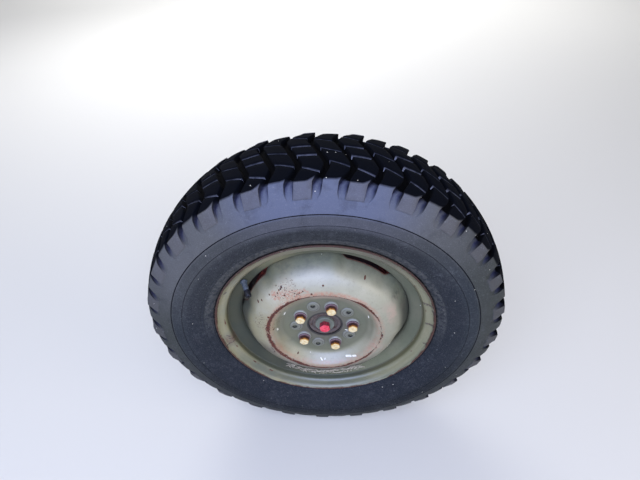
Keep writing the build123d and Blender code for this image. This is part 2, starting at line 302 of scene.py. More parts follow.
# %% Outline helpers
def rounded(corners, share=0.3, steps=5):
    """Outline with each corner C bent: from A to B, points at a share of its two sides from it,
    as the quadratic curve (1-s)(1-s)A + 2s(1-s)C + ssB. A share of a half makes one smooth line."""
    corners = np.array(corners, float)
    share = np.broadcast_to(np.asarray(share, float), len(corners))[:, None, None]
    s = np.linspace(0, 1, steps)[None, :, None]
    here = corners[:, None, :]
    before, after = [here + (np.roll(corners, k, 0)[:, None, :] - here) * share for k in (1, -1)]
    curve = (1 - s) ** 2 * before + 2 * s * (1 - s) * here + s ** 2 * after
    return np.concatenate([corners[:1], curve[1:-1].reshape(-1, 2), corners[-1:]])


def refined(outline, longest):
    """The same outline with its long straight runs divided into steps no longer than longest."""
    counts = np.maximum(1, np.ceil(np.hypot(*np.diff(outline, axis=0).T) / longest))
    at = np.concatenate([[0], np.cumsum(counts)])
    return np.stack([np.interp(np.arange(at[-1] + 1), at, outline[:, k]) for k in (0, 1)], -1)


def normals(outline):
    """Unit normals of an open line of points, to the left of its way."""
    way = np.gradient(outline, axis=0)
    way = way / np.hypot(*way.T)[:, None]
    return np.stack([-way[:, 1], way[:, 0]], -1)


def sheet(line, thickness):
    """Closed outline of a bent sheet: a line, and its parallel to the left, with eased ends."""
    left = normals(line)
    inset = np.full((len(line), 1), thickness * 0.12)
    inset[1:-1] = 0
    near = line + left * inset
    far = line + left * (thickness - inset)
    return np.concatenate([near, far[::-1]])


# %% Grid helpers
def polar(r, angle, y):
    """Points x, station, z at radius r, angle and station y, which broadcast together."""
    r, angle, y = np.broadcast_arrays(r, angle, y)
    return np.stack([r * np.cos(angle), y, r * np.sin(angle)], -1)


def circle(count):
    return np.arange(count) * 2 * np.pi / count


def turned(outline, columns):
    """Outline of (radius, station) carried round the axle in this many columns."""
    r, y = np.array(outline, float).T
    return polar(r[:, None], circle(columns)[None, :], y[:, None])


def aside(points, radius, angle, drift=0):
    """The same grid moved to a radius and angle. With a drift, each row goes that much further out,
    so a round piece may have a hole off its centre."""
    return points + polar(np.broadcast_to(radius + drift, len(points))[:, None], angle, 0)


def grid_faces(rows, columns, closed):
    """Quads of a grid whose rows close on themselves, and its last row on the first if closed."""
    i = np.arange(rows if closed else rows - 1)[:, None]
    j = np.arange(columns)[None, :]
    after_i, after_j = (i + 1) % rows, (j + 1) % columns
    corners = (i * columns + j, after_i * columns + j, after_i * columns + after_j, i * columns + after_j)
    return np.stack(np.broadcast_arrays(*corners), -1).reshape(-1, 4)


def volume(points, faces):
    """Signed volume within quads: a sixth of the sum of a . (b x c) over their triangles."""
    a, b, c, d = (points[faces[:, k]] for k in range(4))
    return (np.einsum("ij,ij->", a, np.cross(b, c)) + np.einsum("ij,ij->", a, np.cross(c, d))) / 6


def mesh_of(name, grids, closed, attributes):
    """One mesh of several grids in wheel millimetres, each with its faces turned outwards."""
    all_faces, start = [], 0
    for grid in grids:
        faces = grid_faces(*grid.shape[:2], closed)
        if volume(grid.reshape(-1, 3), faces) < 0:
            faces = faces[:, ::-1]
        all_faces.append(faces + start)
        start += grid[..., 0].size
    faces = np.concatenate(all_faces)
    points = np.concatenate([grid.reshape(-1, 3) for grid in grids])
    mesh = bpy.data.meshes.new(name)
    mesh.from_pydata(points * MM + [0, LIP_Y, 0], [], faces)
    for key, values in attributes.items():
        made = mesh.attributes.new(key, "FLOAT", "POINT")
        made.data.foreach_set("value", values.astype(np.float32).ravel())
    return mesh


def piece(name, grids, finish, stands_for=(), body="wheel", sharp=32, poles=False, attributes={}):
    """Object of one or more grids that rides on a body, takes a slot and may stand for nodes. A
    grid with poles starts and ends in one point; any other closes its last row on its first."""
    mesh = mesh_of(name, grids if isinstance(grids, list) else [grids], not poles, attributes)
    if poles:
        merged = bmesh.new()
        merged.from_mesh(mesh)
        bmesh.ops.remove_doubles(merged, verts=merged.verts, dist=1e-7)
        merged.to_mesh(mesh)
        merged.free()
    mesh.shade_smooth()
    mesh.set_sharp_from_angle(angle=math.radians(sharp))
    made = bpy.data.objects.new(name, mesh)
    bpy.context.scene.collection.objects.link(made)
    mesh.materials.append(finish.material)
    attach(made, body)
    if stands_for:
        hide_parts(*stands_for)
    print(f"{name}: {len(mesh.polygons)} faces")


# %% [markdown]
# ## Rubber
# Old tyre rubber is blue-grey and dusty. Its colour also carries painted light: bluer at the very
# top and paler at the top left as a painted sky sheen, and darker at the foot and where the rim shades
# it as painted shade. The tread is nearly black, where the road scrubs it and as painted shade; its
# grooves are painted dark as shade, and its narrow cuts get a painted highlight. A noise alone can't
# tell a lug's top from its walls, so the grids below give each point some numbers, such as how worn
# it is, and the finish reads them.

# %% Rubber finish
# Zones outwards: where each starts and is full, then plain, foot, pale and sky-sheen colours; the
# foot colour is painted shade, and the pale and sky-sheen colours are painted light
RUBBER_ZONES = [(264, 281, "2f3439", "1f2328", "434547", "4e5058"),
                (294, 303, "3d403e", "343737", "595a5c", "5d6378")]


def rubber():
    """Tyre rubber: darker at the foot as painted shade, paler at the top left and blue at the very top
    as a painted sky sheen, and dusty.
    """
    made = Finish("tyre_rubber", "44464f", 0.6)
    radius, z, noise, lay = made.radius, made.z, made.noise, made.lay
    pad, deep, notch, worn, cut = [made.attribute(key) for key in "pad deep notch worn cut".split()]
    # Painted light by angle: paler at the top left and bluer at the very top, a painted sky sheen. The low share
    # below makes the foot darker: painted shade.
    painted_light_top_left, blue = made.angle.band(105, 40, 40), made.angle.band(92, 12, 26)
    low = (-z).over(-40, 200)
    made.shade = painted_light_top_left.mix(low.mix("292d33", "24282f"), "2f3236")
    for start, full, plain, foot, pale, painted_sky_sheen in RUBBER_ZONES:
        lay(radius.over(start, full), blue.mix(painted_light_top_left.mix(low.mix(plain, foot), pale), painted_sky_sheen))
    dust = noise(60, 4).over(0.38, 0.72) * noise(9, 5, 0.7, shift=3).over(0.42, 0.75) * 0.22
    lay(dust, "6f7178")
    lay(noise(34, 5, 0.65, shift=8).over(0.5, 0.72) * 0.3, "2a2b30")
    lay(pad * 0.45, "5b595c")
    # Near black in the grooves: painted shade. Navy blue on the floors where they run out down the shoulder: painted
    # sky light.
    lay(deep, notch.mix("050506", "2b2e55"))
    # Near black on the worn lug tops: clean worn rubber, darkened further as painted shade.
    lay(worn, "07090f")
    # Light blue-grey on the walls of the narrow cuts: a painted highlight.
    lay(cut, noise(12, shift=5).over(0.35, 0.65).mix("4c5060", "9498ae"))
    lay(most(radius.band(299.7, 0.7, 0.6), radius.band(279, 0.3, 0.7) * 0.8), "101116")
    lay(radius.band(220.5, 1.6, 1.6) * 0.85, "0a0a0d")
    grain = noise(1.6, 4, 0.7)
    kept = 1 - most(worn, deep)
    lay(grain.over(0.5, 0.8) * kept * 0.24, "a0a1aa")
    scuffs = noise(3.5, 5, 0.75, shift=27).over(0.56, 0.66) * noise(26, 4, 0.6, shift=33).over(0.46, 0.62)
    lay(scuffs * kept * 0.22, "8f9199")
    lay(made.specks(5, 0.09, 0.22, 2) * radius.band(240, 16, 10) * 0.5, "a9aaa8")
    # Pale near the bead on the upper half only: dust, and painted light at the top.
    lay(radius.band(229, 7, 5) * z.over(-60, 60) * noise(8, 4, 0.7).over(0.35, 0.65) * 0.2, "8d8d88")
    lay(made.specks(17, 0.05, 0.34, 21), "e4e1d6")
    made.set("Roughness", most(dust, worn, deep).blend(0.55, 1))
    made.set("Specular IOR Level", 0.04)
    made.bump(grain, 0.2, 0.8)
    made.bump(noise(14), 0.3, 0.5)
    return made


RUBBER = rubber()
print("rubber of", len(RUBBER.tree.nodes), "nodes")

# %% [markdown]
# ## Tread and shoulders
# The tread has fifty lugs a side, of two kinds in turn: one carries a raised pad down the
# shoulder, the other runs smoothly into the sidewall. Between them are deep grooves that run
# out in a point down the shoulder, and narrow slanted cuts cross each lug. Hundreds of booleans
# would make a broken mesh. Here the grid's own rows and columns follow the edges, height is one
# number for each point, and the walls between lug and groove are strips of the same grid.

# %% Tread sizes
LUGS = 50
PITCH = 2 * np.pi / LUGS
LUG_PHASE = math.radians(96)
SHOULDER_R = 350
SHOULDER_Y = 9.5
LINE_R = 300
LINE_Y = -15.5
PAD_FOOT = 324
SIDE_LEAN = math.radians(0.65)
CROWN_DROP = 10
CROWN_HALF = 73
GROOVE_DEPTH = 10
CUT_DEPTH = 8.5
EASE = 0.8
# Both kinds of lug: half width on the crown, station of the tread's edge, and how far that edge
# leans inboard at one end, from which share of the width
HALF_LUG = {"pad": 16.4, "plain": 15.2}
EDGE_Y = {"pad": 7, "plain": 11.5}
EDGE_LEAN = {"pad": (10, 0.6), "plain": (3, 0.8)}
# Down the shoulder by radius: half widths, which make the plain lug merge with the skin, heights
# over the skin, and the groove's depth under it
HALF_SIDE = {"pad": [(324, 15.6), (350, 14.9)], "plain": [(323, 18), (332, 13.6), (350, 12.8)]}
RISE = {"pad": [(323.4, 0), (324.9, 1.6), (325.6, 2)], "plain": [(326, 0), (338, 0.8)]}
GROOVE = [(321, 0), (328, 2.4), (338, 6.5), (350, GROOVE_DEPTH)]
# Rows down a lug, counted in its 26 edges of cuts and ends of runs: one at each, and three more on
# every run between two cuts
RUNS = np.arange(0, 25, 6)[:, None] + [0.25, 0.5, 0.75]
ROW_PLACES = np.sort(np.concatenate([np.arange(26), RUNS.ravel()]))
# Cuts of each kind of lug: station at the lug's middle, half width, depth and slant
CUTS = {"pad": [(31.5, 2, CUT_DEPTH, 0.36), (68, 2.9, CUT_DEPTH, 0.04), (97, 2.9, CUT_DEPTH, 0.04),
                (133.5, 2, CUT_DEPTH, 0.36)],
        "plain": [(45.5, 2, CUT_DEPTH, 0.40), (82.5, 2.2, CUT_DEPTH, 0.40), (119.5, 2, CUT_DEPTH, 0.40),
                  (146, 2, 0, 0)]}
# Zigzag of all lugs: stations, and how far they lean clockwise there, in degrees
ZIGZAG_Y = [9.5, 34, 46, 68, 97, 119, 131, 155.5]
ZIGZAG = [0, 2.2, 2.5, 0.9, -0.9, -2.5, -2.2, 0]
# Columns across a lug, from -1 to 1; three more follow on the groove's floor
ACROSS = np.array([-1, -0.95, -0.475, -0.2375, 0, 0.2375, 0.475, 0.95, 1])
PER_LUG = len(ACROSS) + 3
# Radii of the shoulder's rows, closest together at the fine line and at the pad's foot
SIDE_ROWS = np.array([300, 300.5, 301.2, 306, 311, 315, 318.5, 321.5, 323.4, 324.5, 325.6, 327,
                      330, 334, 338, 342, 345.5, 348])
LINE_DEPTH = np.where(SIDE_ROWS < 300.4, 0.8, 0)[:, None]
# The shoulder's skin: each row's share of the way up, and its station, a smooth line that bends
SIDE_SHARE = ((SIDE_ROWS - LINE_R) / (SHOULDER_R - LINE_R))[:, None]
SIDE_Y = LINE_Y + (SHOULDER_Y - LINE_Y) * (0.36 * SIDE_SHARE + 0.64 * SIDE_SHARE ** 2)
# The way from one sidewall to the other inside the tyre: radius and station
INSIDE = [(294, 174), (318, 160), (332, 141), (339, 110), (340, WHEEL_MID)]


# %% Lug tops
def crown(y):
    """Radius of the worn tread surface at a station: a parabola that falls by CROWN_DROP at
    CROWN_HALF off the middle."""
    return TYRE_R - CROWN_DROP * ((y - WHEEL_MID) / CROWN_HALF) ** 2


def tread_controls(kind):
    """Stations, heights and slants of the rows down one lug's middle: each cut is six edges
    between runs, and the rows between are interpolated."""
    stations, heights, slants = [EDGE_Y[kind] + 1], [0], [0]
    for middle, half, depth, slant in CUTS[kind]:
        eased = 0.06 * depth
        stations += list(middle + np.array([-half - EASE, -half, -half * 0.6, half * 0.6, half, half + EASE]))
        heights += [0, -eased, -depth, -depth, -eased, 0]
        slants += [slant] * 6
    ends = (RIM_WIDTH - EDGE_Y[kind] - 1, 0, 0)
    lines = [values + [end] for values, end in zip((stations, heights, slants), ends)]
    return [np.interp(ROW_PLACES, np.arange(26), line)[:, None] for line in lines]


def edge_lean(kind, outboard):
    """How far a lug's tread edge leans inboard at each column: a parabola near one end."""
    furthest, start = EDGE_LEAN[kind]
    u = (ACROSS if outboard else -ACROSS) * 0.5 + 0.5
    return furthest * np.clip((u - start) / (1 - start), 0, 1) ** 2


def tread_lug(kind):
    """Lug points of the tread: radius and station for each row and column across."""
    stations, heights, slants = tread_controls(kind)
    first = np.interp(ROW_PLACES, [0, 1], [1, 0])[:, None] * edge_lean(kind, True)
    last = np.interp(ROW_PLACES, [24, 25], [0, 1])[:, None] * edge_lean(kind, False)
    y = stations - slants * ACROSS * HALF_LUG["plain"] + first - last
    height = heights + 0 * y
    height[:, [0, -1]] = np.minimum(height[:, [0, -1]], -EASE * 0.7)
    return crown(y) + height, y


# %% Shoulders
def off_skin(height):
    """Points this far out from the shoulder's skin, square to it: radius and station by row."""
    return SIDE_ROWS[:, None] + height * 0.5, SIDE_Y - height * 0.86


def by_radius(table):
    """Number for each of the shoulder's rows from a table of (radius, number)."""
    return np.interp(SIDE_ROWS, *zip(*table))[:, None]


def shoulder(kind, outboard):
    """Lug points of one shoulder: rows up to the tread's edge, columns across the lug.
    A point is the skin at its radius, moved out by its rise, and drawn to the leaning edge near it."""
    lean = (edge_lean(kind, outboard) + EDGE_Y[kind] - SHOULDER_Y)[None, :]
    rise = by_radius(RISE[kind]) * np.ones_like(lean)
    rise[:, [0, -1]] = np.where(SIDE_SHARE > 0.55, rise[:, [0, -1]] - 0.6, 0)
    r, y = off_skin(rise - LINE_DEPTH)
    return r, y + lean * SIDE_SHARE ** 5


def lug_strip(kind):
    """Whole lug from one sidewall line over the tread to the other, as radius and station."""
    (r_out, y_out), (r_in, y_in) = shoulder(kind, True), shoulder(kind, False)
    r_top, y_top = tread_lug(kind)
    return np.concatenate([r_out, r_top, r_in[::-1]]), np.concatenate([y_out, y_top, RIM_WIDTH - y_in[::-1]])


def lug_half_widths(kind):
    """Half widths for all rows: the lug is narrower at the tread's edges than on its crown."""
    side = by_radius(HALF_SIDE[kind])
    middle = tread_controls(kind)[0]
    inward = np.minimum(middle, RIM_WIDTH - middle) - EDGE_Y[kind]
    top = np.interp(inward, [0, 16], [HALF_SIDE[kind][-1][1], HALF_LUG[kind]])
    return np.concatenate([side, top, side[::-1]])


# %% Grooves and the whole tread
def groove_floor(y_left, y_right):
    """Floor points between two lugs: three columns whose stations go from one lug's end to the
    next one's. The floor lies under the skin by the groove's depth, square to it."""
    share = np.array([0, 0.5, 1])[None, :]
    rows = len(SIDE_ROWS)
    side_r, side_y = off_skin(0 * share - by_radius(GROOVE) - LINE_DEPTH)
    y = (y_left[:, None] * (1 - share) + y_right[:, None] * share)[rows:-rows]
    inward = np.minimum(y, RIM_WIDTH - y)
    inward = np.where(inward < 40, 19 + (inward - 10) * 0.7, inward)
    top_y = np.where(y < WHEEL_MID, inward, RIM_WIDTH - inward)
    r = np.concatenate([side_r, crown(top_y) - GROOVE_DEPTH - 0.6, side_r[::-1]])
    return r, np.concatenate([side_y, top_y, RIM_WIDTH - side_y[::-1]])


def lug_and_floor(kind, other):
    """One lug with the groove after it: radius, station and angle from the lug's middle."""
    r, y = lug_strip(kind)
    half = lug_half_widths(kind)
    floor_r, floor_y = groove_floor(y[:, -1], lug_strip(other)[1][:, 0])
    gap = PITCH * SHOULDER_R - half - lug_half_widths(other)
    wall = np.minimum(1.6, gap * 0.3)
    offset = np.concatenate([half * ACROSS, half + wall, half + gap / 2, half + gap - wall], 1)
    return np.concatenate([r, floor_r], 1), np.concatenate([y, floor_y], 1), offset / SHOULDER_R


def marks(r, y):
    """Numbers for the finish at each point: worn on a lug's top, cut in its narrow cuts, deep on the
    floor and walls of the grooves, fading down the shoulder, pad on a raised pad, and notch on the
    floor of the grooves that run out down the outboard shoulder. With them the finish paints the worn
    tops near black, as clean worn rubber and painted shade; the cut walls light, a painted highlight;
    the deep places near black, painted shade; and the notch floors navy blue, painted sky light."""
    side = len(SIDE_ROWS)
    column = np.arange(r.shape[1])[None, :]
    in_lug = column % PER_LUG
    on_lug, on_pad = in_lug < len(ACROSS), column % (2 * PER_LUG) < len(ACROSS)
    top = np.zeros((len(r), 1), bool)
    top[side:-side] = True
    below = crown(y) - r
    across = np.tile(np.concatenate([np.abs(ACROSS), np.ones(3)]), LUGS)[None, :]
    walls, middle = np.clip((r - 328) / 12, 0, 1) * 0.9, np.clip((r - 337) / 10, 0, 1)
    shaded = np.where(in_lug == len(ACROSS) + 1, middle, walls)
    return {
        "worn": np.clip(1.6 - below / 1.6, 0, 1) * on_lug * top,
        "cut": np.clip((below - 1) / 0.5, 0, 1) * on_lug * top * (across < 0.99),
        "deep": np.where(top, 1, shaded) * (across > 0.97),
        "pad": on_pad * ~top * np.clip((r - PAD_FOOT) / 1.5, 0, 1),
        "notch": ~top * ~on_lug * np.clip((346 - r) / 12, 0, 1) * (y < WHEEL_MID),
    }


def tread_grid():
    """The whole outer band of the tyre: lugs and floors in turn, then the way back inside."""
    pair = zip(lug_and_floor("pad", "plain"), lug_and_floor("plain", "pad"))
    r, y, offset = [np.tile(np.concatenate(both, 1), (1, LUGS // 2)) for both in pair]
    lug = np.repeat(np.arange(LUGS), PER_LUG)[None, :]
    zigzag = np.radians(np.interp(y, ZIGZAG_Y, ZIGZAG))
    lean = SIDE_LEAN * np.clip((SHOULDER_R - r) / (SHOULDER_R - PAD_FOOT), 0, 1)
    lean = np.where((y < EDGE_Y["plain"]) | (y > RIM_WIDTH - EDGE_Y["plain"]), lean, 0)
    angle = LUG_PHASE - lug * PITCH - offset - zigzag + lean
    inside = np.array(INSIDE + [(r_in, RIM_WIDTH - y_in) for r_in, y_in in INSIDE[-2::-1]])
    back = polar(inside[:, 0][:, None], angle[:1], inside[:, 1][:, None])
    empty = np.zeros(back[..., 0].shape)
    numbers = {key: np.concatenate([values * np.ones_like(r), empty]) for key, values in marks(r, y).items()}
    return np.concatenate([polar(r, angle, y), back]), numbers


tread_points, tread_marks = tread_grid()
piece("tyre_tread", tread_points, RUBBER, ["tyre"], sharp=38, attributes=tread_marks)

# %% [markdown]
# ## Sidewalls
# From the fine line below the shoulder to the bead the tyre is a turned skin, so one outline is
# carried round. Its fine rings are grooves of half a millimetre in the outline, and a band of
# short ribs next to the rim comes from raising every other pair of columns.

# %% Sidewalls
SIDE_CORNERS = [(LINE_R, LINE_Y + 1.6), (LINE_R - 1, LINE_Y - 0.2), (290, -17.35), (280, -18.05),
                (268, -17.25), (252, -12.6), (240, -7), (230, -2), (223, 2.2), (219, 7),
                (213, 12.2), (206, 13)]
SIDE_INNER = [(206, 19), (214, 20), (228, 9), (250, -3), (280, -9), (293, -8)]
# Rings: radius, width, and rise or, below zero, depth
RINGS = [(279, 0.6, -0.6), (262, 0.5, 0.25), (243.5, 0.7, 0.5), (238, 0.5, 0.35), (223.6, 0.6, 0.5)]
RIB_BAND = (226, 235.5)
RIB_RISE = 0.45
RIBS = 144


def side_outline():
    """Smooth outer line from the fine line to the bead, with rings as small bells in height:
    rise times exp(-(distance / width) squared)."""
    smooth = rounded(SIDE_CORNERS, [0.1, 0.1] + [0.5] * 8 + [0.3, 0.1])
    fine = np.concatenate([centre + np.linspace(-1.8, 1.8, 5) * width for centre, width, _ in RINGS])
    radii = np.unique(np.concatenate([smooth[:, 0], fine, [RIB_BAND[0] - 0.7, RIB_BAND[1] + 0.7], RIB_BAND]))[::-1]
    order = np.argsort(smooth[:, 0])
    line = np.stack([radii, np.interp(radii, smooth[order, 0], smooth[order, 1])], -1)
    rise = sum(height * np.exp(-((radii - centre) / width) ** 2) for centre, width, height in RINGS)
    return line - normals(line) * rise[:, None]


def sidewall(side):
    """Closed ring of one sidewall; side is +1 outboard and -1 for the mirrored one inboard."""
    outer = side_outline()
    in_band = ((outer[:, 0] >= RIB_BAND[0]) & (outer[:, 0] <= RIB_BAND[1]))[:, None]
    tooth = np.tile([0, 1, 1, 0], RIBS)[None, :]
    skin = np.concatenate([outer, SIDE_INNER])
    raised = np.concatenate([in_band, np.zeros((len(SIDE_INNER), 1), bool)])
    y = skin[:, 1:] - RIB_RISE * tooth * raised
    return polar(skin[:, :1], circle(RIBS * 4)[None, :], y if side > 0 else RIM_WIDTH - y)


piece("tyre_sidewalls", [sidewall(1), sidewall(-1)], RUBBER, sharp=40)

# %% [markdown]
# ## Wheel paint
# The wheel is pressed steel in olive drab, faded and dusty. Each kind of wear is a mask, and so is
# each painted light or shade: where it may be, times a noise that breaks it up. The masks of place
# use the radius, the angle, the station and spots of the wheel's face; a few noises are made once
# and serve in many layers.

# %% Wheel paint: places and noises
PAINT = Finish("olive_wheel_paint", "6f735c", 0.35)
noise, spot, lay = PAINT.noise, PAINT.spot, PAINT.lay
radius, angle, x, station, z = PAINT.radius, PAINT.angle, PAINT.x, PAINT.station, PAINT.z
leftward, downward = -x, -z
low, high, beside = downward.over(40, 120), z.over(20, 110), abs(z).under(15, 60)
cloud = noise(80, 4, shift=1).over(0.35, 0.7)
ragged = noise(5, 6, 0.85, shift=7)
patchy = noise(38, shift=9).over(0.33, 0.6)
mottled = noise(24, 4, 0.65, shift=4).over(0.4, 0.7)
grime = noise(5, 6, 0.75, shift=2).over(0.5, 0.8)
print("masks made with", len(PAINT.tree.nodes), "nodes")

# %% [markdown]
# The dome is faded, and its upper half is painted paler still as painted light; its left side is
# yellowish. The nave keeps its green-grey and turns brown round the hub. The bolt bosses and pips
# carry numbers of their own: raised where they are painted paler as a highlight, hole where they
# are dark, near black in the pip holes as painted shade.

# %% Wheel paint: fading, painted light and shade, nave and bowl
lay(cloud * 0.5, "8b8670")
lay(radius.band(124, 26, 14) * cloud.blend(0.45, 0.75), "a3a08c")
off_top = angle.band(90, 8, 25).blend(1, 0.35)
# Paler on the dome's upper half: painted light.
lay(radius.band(128, 14, 14) * high * off_top * cloud.blend(0.28, 0.42), "cfcab6")
left = leftward.over(20, 120) * noise(50).over(0.35, 0.6)
lay(left * 0.5, "958a60")
lay(grime * 0.4, "47463b")
on_nave = radius.under(80, 90)
lay(on_nave * 0.55, "535645")
middle = radius.under(30, 70) * cloud.blend(0.45, 0.75)
lay(middle, "4e4641")
# A dark ring round the hub hole: painted shadow of the gap round the hub's spigot.
lay(radius.band(34.2, 1.4, 1.6) * 0.9, "15100f")
# Paler on the raised tops of the bosses and pips: a painted highlight.
lay(PAINT.attribute("raised") * 0.7, "9a9c9a")
hole = PAINT.attribute("hole")
# Near black in the pip holes: painted shade; darker round the pips' foot.
lay(hole, "030303")
# Darker on the bowl's edge at the left and right: painted shade.
lay(radius.band(90, 5, 5) * beside * 0.5, "4c4c38")
lay(spot(-71, -48, 9) * noise(7).over(0.35, 0.6) * 0.5, "43443c")
# Paler and pinker on the upper wall of the bowl: painted light.
lay(radius.band(93, 12, 7) * high * angle.band(90, 8, 18).blend(0.25, 0.62), "c4a896")
print("paint with", len(PAINT.tree.nodes), "nodes after fading")

# %% [markdown]
# Dirt gathers where water stands. The dome's lower part is painted darker and browner as shade,
# and darker and browner still at the lower left. Along its lower edge it is nearly black under
# the shreds, as dark dirt and their painted shadow. The skirt is darker olive, most at the left and
# right as painted shade. The rim's well and the step into it are painted dark as shade, most of all
# on the left, and the ledge is painted darker at the top as shade and lighter at the right as light.

# %% Wheel paint: dust, grime and painted shade
pink = most(spot(126, 49, 42), spot(104, -50, 30)) * noise(28, 4, 0.6, shift=17).over(0.4, 0.6)
lay(pink * 0.55, "bd9a8c")
# Darker and browner on the dome's lower part: painted shade.
lay(radius.band(138, 22, 9) * low * mottled.blend(0.45, 0.75), "57493f")
# Nearly black under the shreds along the dome's lower edge: dark dirt, and the shreds' painted shadow.
caught = radius.band(141, 10, 5) * downward.over(85, 125) * noise(6, 4, 0.7).over(0.38, 0.47)
lay(caught, "110d0a")
on_skirt = radius.over(142, 162) * radius.under(170.5, 172)
lay(on_skirt * mottled.blend(0.35, 0.7), "41453a")
# Darker on the skirt at the left and right: painted shade.
lay(radius.over(146, 160) * radius.under(170.5, 172) * abs(z).under(35, 80) * 0.68, "24261f")
lay(spot(-128, -74, 46) * 0.6, "2f2a24")
lay(spot(-104, -62, 44) * mottled.blend(0.3, 0.6), "5c4636")
lay(most(spot(126, -74, 40), spot(-122, 72, 42)) * 0.4, "a9a594")
lay(spot(137, 83, 16) * noise(5, stretch=(1, 1, 0.3)).over(0.4, 0.6) * 0.6, "3a3b30")
# Darker in the rim's well, most on the left and lower down: painted shade in the recess.
in_well = radius.over(170.5, 172.5) * radius.under(195.5, 197.5) * station.over(8, 24)
trough = in_well * spot(-94, 163, 60).blend(1, 0.3)
right_low = x.over(0, 90).blend(0.5, 0.12)
lay(trough * leftward.over(90, 150).blend(low.blend(0.4, right_low), low.blend(0.86, 0.95)), "2e3224")
lay(trough * spot(-94, -163, 80) * 0.7, "262a1f")
# A dark band at the step from the seat into the well: painted shade.
lay(radius.over(194, 196.5) * station.band(22, 4, 3) * radius.under(199.5, 202) * 0.8, "2b2d22")
ledge = radius.band(205, 7, 4) * grime.blend(0.75, 1)
lay(ledge * 0.3, "75714f")
# Darker on the ledge at the top and the upper right: painted shade.
lay(ledge * z.over(70, 150) * 0.5, "4d4038")
lay(ledge * spot(104, 178, 70) * 0.7, "3a3832")
lay(ledge * downward.over(70, 160) * x.under(40, 150) * mottled.blend(0.72, 0.95), "3e463c")
rusty = spot(-198, -55, 26) * noise(6, 4, 0.7, stretch=(0.4, 1, 1), shift=31).over(0.37, 0.50)
lay(rusty * ledge * 0.9, "5a3524")
# Lighter and yellower on the ledge at the right: painted light.
lay(ledge * x.over(60, 170) * 0.3, "837c55")
print("paint with", len(PAINT.tree.nodes), "nodes after dust and grime")

# %% [markdown]
# Rust comes through first at edges: along the crest ring, as a line whose width and place waver,
# on the rim's lip, at the cut edges of the vents (the number bare), in spots, and as fine pits.
# Round it the paint blushes with pink primer.

# %% Wheel paint: rust
# Rust spots on the dome: forward, up and size in millimetres
RUST_SPOTS = [(-81, 116, 2.8), (-83, 113, 2.8), (-86, 110, 2.4), (-89, 104, 2.6), (-105, 95, 2.4), (-121, 77, 2.8),
              (-129, 69, 3.4), (-93, 97, 2.2), (-75, 104, 3), (-56, 111, 2.2), (-52, 110, 2), (-47, 113, 2.2),
              (-41, 117, 2.4), (-4, 130, 3.4), (-25, 113, 3.4), (73, 131, 3.6), (-49, 99, 4.8), (-109, 45, 4),
              (-102, 2, 2.8), (-56, -81, 3), (109, 24, 2.4), (114, -3, 4), (112, -12, 3.4), (110, -24, 2.8),
              (-61, 116, 1.8), (-129, 21, 2.2), (-87, 51, 2.8), (-104, -67, 3.4)]
thick = angle.band(-4, 16, 22).under(0, 1)
wide = thick * noise(11, shift=19).blend(0.6, 2.2) + 0.8
wide = wide + most(leftward.over(0, 60), spot(72, 84, 40)) * noise(14, shift=29) * 3.2
drop = z.over(30, 100) * 3 + z.over(92, 106) * 3.5 - downward.over(95, 112) * 3
off_line = radius - ragged * 12 - 106.6 + drop
kept = noise(7, 5, 0.8, shift=23) + (patchy * 0.12 + thick * 0.14)
crest = (abs(off_line) / wide).under(0.7, 1.2) * kept.over(0.53, 0.59)
flaked = radius + (patchy * 2 + ragged * 3) - low * 0.8
edge = flaked.over(217.7, 219.1) * (ragged + patchy * 0.12).over(0.36, 0.52)
seam = radius.band(202, 0.6, 1) * noise(30, 5, 0.7, shift=14).over(0.56, 0.66)
spots = most(*[spot(*place).over(0.25, 0.5) for place in RUST_SPOTS]) * noise(1.8, 3, 0.6).over(0.30, 0.42)
area = most(spot(-66, 106, 44), spot(-118, 20, 60) * 0.7, left * 0.25, 0.2)
pits = noise(2.6, 4, 0.6, shift=12).over(0.58, 0.63) * (area + noise(13, shift=15)).over(0.86, 0.98)
rust = most(crest, edge * 0.9, seam, spots, pits * 0.85, PAINT.attribute("bare") * 0.9)
blush = most(PAINT.stroke(-94, 97, -38, 114, 10), spot(-72, 103, 42) * 0.35)
blush = blush * noise(4, 5, 0.7, shift=11).over(0.42, 0.58)
halo = radius.band(110, 5, 7) * ragged.over(0.40, 0.56) * high.blend(0.5, 1)
lay(most(blush, halo) * 0.66, "b06a50")
lay(rust, noise(1.8, 4, 0.7).over(0.35, 0.7).mix("2a1109", "71371d"))
lay(edge * z.over(0, 120).blend(0.3, 0.55), "2b2117")
print("paint with", len(PAINT.tree.nodes), "nodes after rust")

# %% [markdown]
# Last come dark chips, bright scratches and pale flecks. Where the wheel is rusty or dirty, and
# where shade is painted in the well, under the shreds and in the pip holes, it is dull; elsewhere a
# thin coat over the paint keeps some gloss. The rust also stands in relief.

